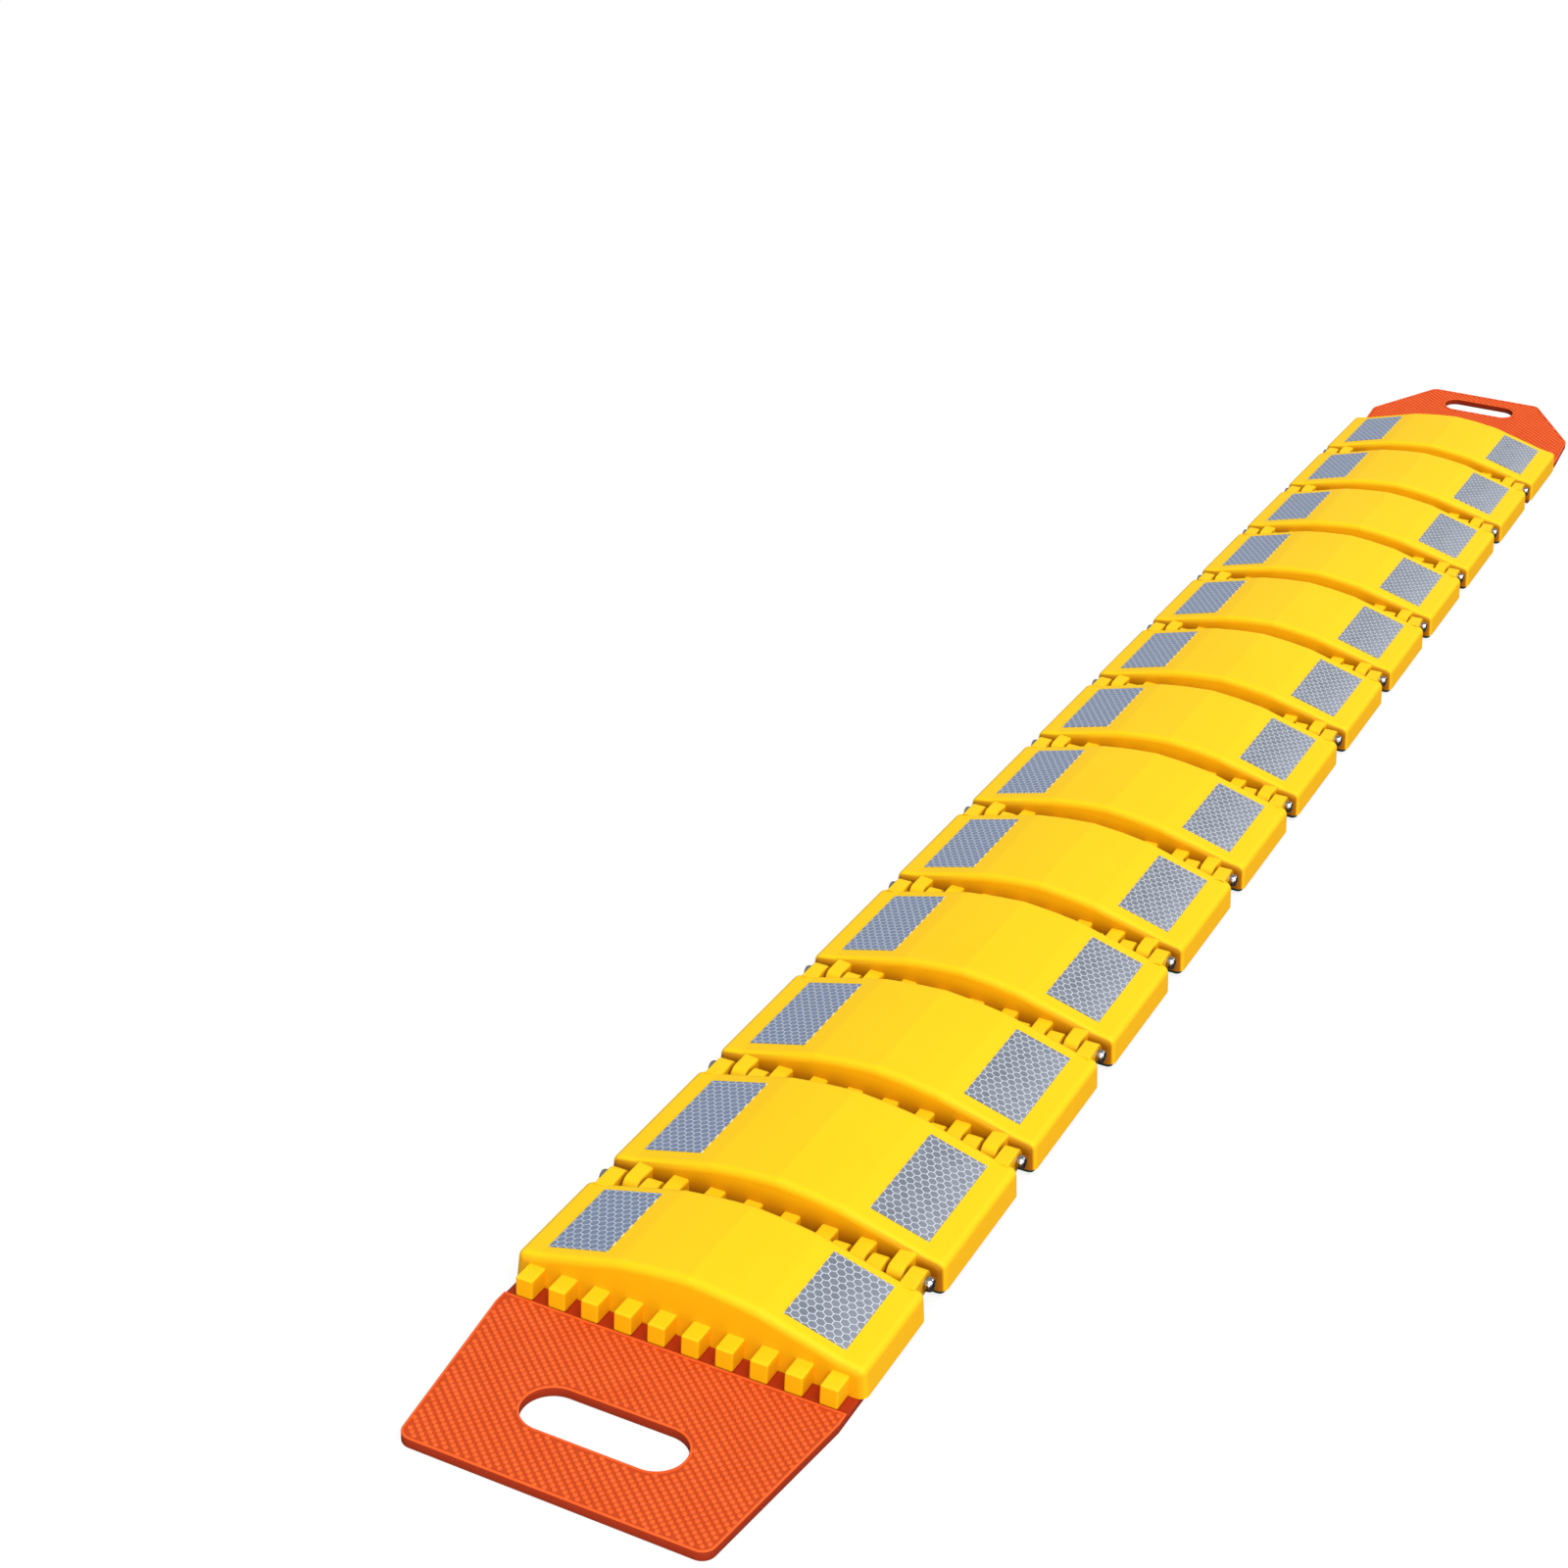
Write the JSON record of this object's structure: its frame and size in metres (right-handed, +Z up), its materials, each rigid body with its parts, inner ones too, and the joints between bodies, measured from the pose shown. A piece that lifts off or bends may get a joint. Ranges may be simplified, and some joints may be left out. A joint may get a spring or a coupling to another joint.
{
  "type": "portable speed bump",
  "caption": "Roll-up speed bump: humped segments with reflector tapes, hinged edge to edge on through bolts, with rubber pads below and a flexible handle sheet at both ends.",
  "frame": {"origin": "on the ground, at the middle of the strip laid flat, handles included", "axes": "+X across the bump, to the right seen from the near end; +Y along the strip from the near (short) segment to the far end; +Z up"},
  "size_m": [0.23, 2.1182, 0.046],
  "materials": {
    "yellow_body": "satin moulded yellow plastic",
    "reflector_tape": "grey honeycomb reflective tape",
    "green_rubber": "dark green ribbed rubber",
    "bright_steel": "polished steel",
    "orange_sheet": "orange flexible sheet with small raised bumps on top"
  },
  "bodies": {
    "segment_01": {"segment_body_01": "yellow_body", "reflector_tapes_01": "reflector_tape", "hinge_bolt_01": "bright_steel", "near_sheet_root": "orange_sheet"},
    "segment_02": {"segment_body_02": "yellow_body", "reflector_tapes_02": "reflector_tape", "ribbed_pad_02": "green_rubber", "hinge_bolt_02": "bright_steel"},
    "segment_03": {"segment_body_03": "yellow_body", "reflector_tapes_03": "reflector_tape", "ribbed_pad_03": "green_rubber", "hinge_bolt_03": "bright_steel"},
    "segment_04": {"segment_body_04": "yellow_body", "reflector_tapes_04": "reflector_tape", "ribbed_pad_04": "green_rubber", "hinge_bolt_04": "bright_steel"},
    "segment_05": {"segment_body_05": "yellow_body", "reflector_tapes_05": "reflector_tape", "ribbed_pad_05": "green_rubber", "hinge_bolt_05": "bright_steel"},
    "segment_06": {"segment_body_06": "yellow_body", "reflector_tapes_06": "reflector_tape", "ribbed_pad_06": "green_rubber", "hinge_bolt_06": "bright_steel"},
    "segment_07": {"segment_body_07": "yellow_body", "reflector_tapes_07": "reflector_tape", "ribbed_pad_07": "green_rubber", "hinge_bolt_07": "bright_steel"},
    "segment_08": {"segment_body_08": "yellow_body", "reflector_tapes_08": "reflector_tape", "ribbed_pad_08": "green_rubber", "hinge_bolt_08": "bright_steel"},
    "segment_09": {"segment_body_09": "yellow_body", "reflector_tapes_09": "reflector_tape", "ribbed_pad_09": "green_rubber", "hinge_bolt_09": "bright_steel"},
    "segment_10": {"segment_body_10": "yellow_body", "reflector_tapes_10": "reflector_tape", "ribbed_pad_10": "green_rubber", "hinge_bolt_10": "bright_steel"},
    "segment_11": {"segment_body_11": "yellow_body", "reflector_tapes_11": "reflector_tape", "ribbed_pad_11": "green_rubber", "hinge_bolt_11": "bright_steel"},
    "segment_12": {"segment_body_12": "yellow_body", "reflector_tapes_12": "reflector_tape", "ribbed_pad_12": "green_rubber", "hinge_bolt_12": "bright_steel"},
    "segment_13": {"segment_body_13": "yellow_body", "reflector_tapes_13": "reflector_tape", "far_sheet_root": "orange_sheet"},
    "near_flap": {"near_handle_flap": "orange_sheet"},
    "far_flap": {"far_handle_flap": "orange_sheet"}
  },
  "joints": [
    {"name": "hinge_01", "type": "hinge", "parent": "segment_02", "child": "segment_01", "pos_m": [0, -0.80788, 0.0185], "axis": [1, 0, 0], "range_deg": [-20, 34]},
    {"name": "hinge_02", "type": "hinge", "parent": "segment_03", "child": "segment_02", "pos_m": [0, -0.66387, 0.0185], "axis": [1, 0, 0], "range_deg": [-20, 52]},
    {"name": "hinge_03", "type": "hinge", "parent": "segment_04", "child": "segment_03", "pos_m": [0, -0.51987, 0.0185], "axis": [1, 0, 0], "range_deg": [-20, 36]},
    {"name": "hinge_04", "type": "hinge", "parent": "segment_05", "child": "segment_04", "pos_m": [0, -0.37588, 0.0185], "axis": [1, 0, 0], "range_deg": [-20, 48]},
    {"name": "hinge_05", "type": "hinge", "parent": "segment_06", "child": "segment_05", "pos_m": [0, -0.23187, 0.0185], "axis": [1, 0, 0], "range_deg": [-20, 58]},
    {"name": "hinge_06", "type": "hinge", "parent": "segment_07", "child": "segment_06", "pos_m": [0, -0.08787, 0.0185], "axis": [1, 0, 0], "range_deg": [-20, 44]},
    {"name": "hinge_07", "type": "hinge", "parent": "segment_07", "child": "segment_08", "pos_m": [0, 0.05613, 0.0185], "axis": [-1, 0, 0], "range_deg": [-20, 54]},
    {"name": "hinge_08", "type": "hinge", "parent": "segment_08", "child": "segment_09", "pos_m": [0, 0.20012, 0.0185], "axis": [-1, 0, 0], "range_deg": [-20, 62]},
    {"name": "hinge_09", "type": "hinge", "parent": "segment_09", "child": "segment_10", "pos_m": [0, 0.34413, 0.0185], "axis": [-1, 0, 0], "range_deg": [-20, 62]},
    {"name": "hinge_10", "type": "hinge", "parent": "segment_10", "child": "segment_11", "pos_m": [0, 0.48812, 0.0185], "axis": [-1, 0, 0], "range_deg": [-20, 62]},
    {"name": "hinge_11", "type": "hinge", "parent": "segment_11", "child": "segment_12", "pos_m": [0, 0.63213, 0.0185], "axis": [-1, 0, 0], "range_deg": [-20, 80]},
    {"name": "hinge_12", "type": "hinge", "parent": "segment_12", "child": "segment_13", "pos_m": [0, 0.77612, 0.0185], "axis": [-1, 0, 0], "range_deg": [-20, 80]},
    {"name": "near_flap_bend", "type": "hinge", "parent": "segment_01", "child": "near_flap", "pos_m": [0, -0.92543, 0.0025], "axis": [-1, 0, 0], "range_deg": [-120, 60], "stiffness_Nm_per_rad": 0.6},
    {"name": "far_flap_bend", "type": "hinge", "parent": "segment_13", "child": "far_flap", "pos_m": [0, 0.92543, 0.0025], "axis": [-1, 0, 0], "range_deg": [-52, 128], "stiffness_Nm_per_rad": 0.6, "springref_deg": -7.73}
  ]
}
